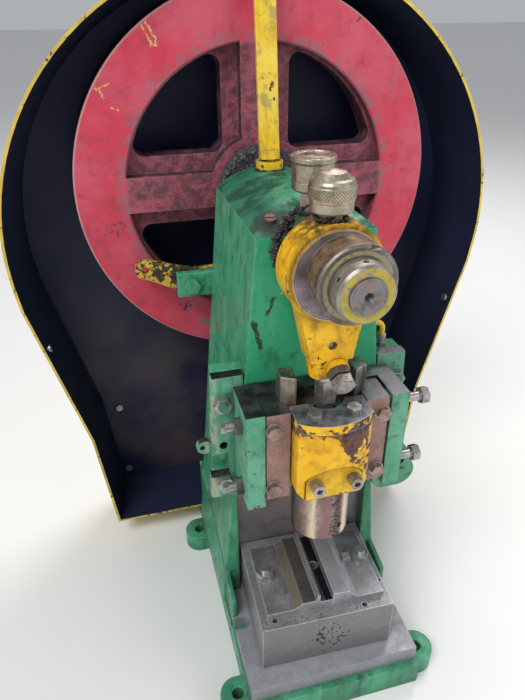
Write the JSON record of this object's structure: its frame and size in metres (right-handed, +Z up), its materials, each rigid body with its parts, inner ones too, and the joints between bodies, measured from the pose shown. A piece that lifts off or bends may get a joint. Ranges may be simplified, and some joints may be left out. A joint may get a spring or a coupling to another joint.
{
  "type": "mechanical stamping press",
  "caption": "Bench eccentric press: cast frame with slide guides, crank and connecting rod, flywheel in a pan guard, ram with punch holder over a bolted die.",
  "frame": {"origin": "on the floor under the foot, on the axis of the ram", "axes": "+X to the operator's right, +Y to the back, towards the flywheel, +Z up"},
  "size_m": [0.59, 0.4174, 0.745],
  "materials": {
    "green_paint": "worn enamel over cast iron",
    "yellow_paint": "chipped enamel",
    "red_paint": "weathered matt paint",
    "dark_steel": "oily dark steel",
    "bare_steel": "dull steel",
    "brown_iron": "oiled brown iron",
    "bronze": "tarnished bronze"
  },
  "bodies": {
    "frame": {"frame_casting": "green_paint", "bolster_plate": "dark_steel", "bolster_screws": "dark_steel", "die_block": "dark_steel", "die_plate_left": "dark_steel", "die_plate_right": "dark_steel", "die_studs": "bare_steel", "die_washers": "bare_steel", "die_nuts": "bare_steel", "die_stop": "dark_steel", "guide_housing": "green_paint", "housing_studs": "bare_steel", "housing_nuts": "bare_steel", "gib_left": "brown_iron", "gib_right": "brown_iron", "gib_bolts": "bare_steel", "gib_washers": "dark_steel", "gib_adjusting_screws": "bare_steel", "gib_lock_nuts": "bare_steel", "front_bush": "bronze", "rear_bush": "bronze", "crown_screws": "brown_iron", "rear_grease_cup": "bronze", "stay_bar": "yellow_paint", "stay_collar": "yellow_paint", "stay_nut": "bare_steel", "stay_bolt": "bare_steel", "wheel_guard": "yellow_paint", "guard_rivets": "bare_steel", "guard_bolts": "bare_steel", "lever_bolt": "bare_steel", "oil_pipe": "yellow_paint", "oil_union": "bare_steel"},
    "crank": {"crankshaft": "bare_steel", "eccentric_bush": "bare_steel", "dog_ring": "bare_steel", "ring_nut": "yellow_paint", "crank_key": "bare_steel", "clutch_collar": "dark_steel", "wheel_nut": "bare_steel"},
    "wheel": {"flywheel": "red_paint", "wheel_bush": "bronze", "clutch_ring": "dark_steel"},
    "rod": {"connecting_rod": "yellow_paint", "rod_bush": "bronze", "ball_screw": "bare_steel", "lock_screw": "bare_steel", "lock_nut": "dark_steel", "front_grease_cup": "bronze"},
    "ram": {"ram_slide": "yellow_paint", "cap_plate": "dark_steel", "cap_bolts": "bare_steel", "ball_ring": "bronze", "ball_seat": "bronze", "clamp_cap": "yellow_paint", "clamp_screws": "bare_steel", "punch_holder": "brown_iron"},
    "lever": {"trip_lever": "yellow_paint"},
    "front_cap": {"front_cup_cap": "bronze"},
    "rear_cap": {"rear_cup_cap": "bronze"}
  },
  "joints": [
    {"name": "crank_turn", "type": "hinge", "parent": "frame", "child": "crank", "pos_m": [0, 0.12, 0.5085], "axis": [0, -1, 0], "range_deg": [-150, 30]},
    {"name": "wheel_spin", "type": "hinge", "parent": "crank", "child": "wheel", "pos_m": [0, 0.273, 0.5085], "axis": [0, -1, 0], "continuous": true},
    {"name": "rod_swing", "type": "hinge", "parent": "crank", "child": "rod", "pos_m": [-0.003, -0.0015, 0.5033], "axis": [0, -1, 0], "range_deg": [-30, 150]},
    {"name": "ram_stroke", "type": "slide", "parent": "frame", "child": "ram", "axis": [0, 0, -1], "range_m": [-0.01, 0.002]},
    {"name": "lever_swing", "type": "hinge", "parent": "frame", "child": "lever", "pos_m": [-0.093, 0.22, 0.409], "axis": [0, -1, 0], "range_deg": [0, 12]},
    {"name": "front_cap_turn", "type": "hinge", "parent": "rod", "child": "front_cap", "pos_m": [-0.005, -0.0015, 0.58], "axis": [0, 0, 1], "continuous": true},
    {"name": "rear_cap_turn", "type": "hinge", "parent": "frame", "child": "rear_cap", "pos_m": [0, 0.058, 0.575], "axis": [0, 0, 1], "continuous": true}
  ],
  "couplings": [
    {"joint": "rod_swing", "follows": "crank_turn", "ratio": -1},
    {"joint": "ram_stroke", "follows": "crank_turn", "m_per_rad": 0.00381}
  ]
}
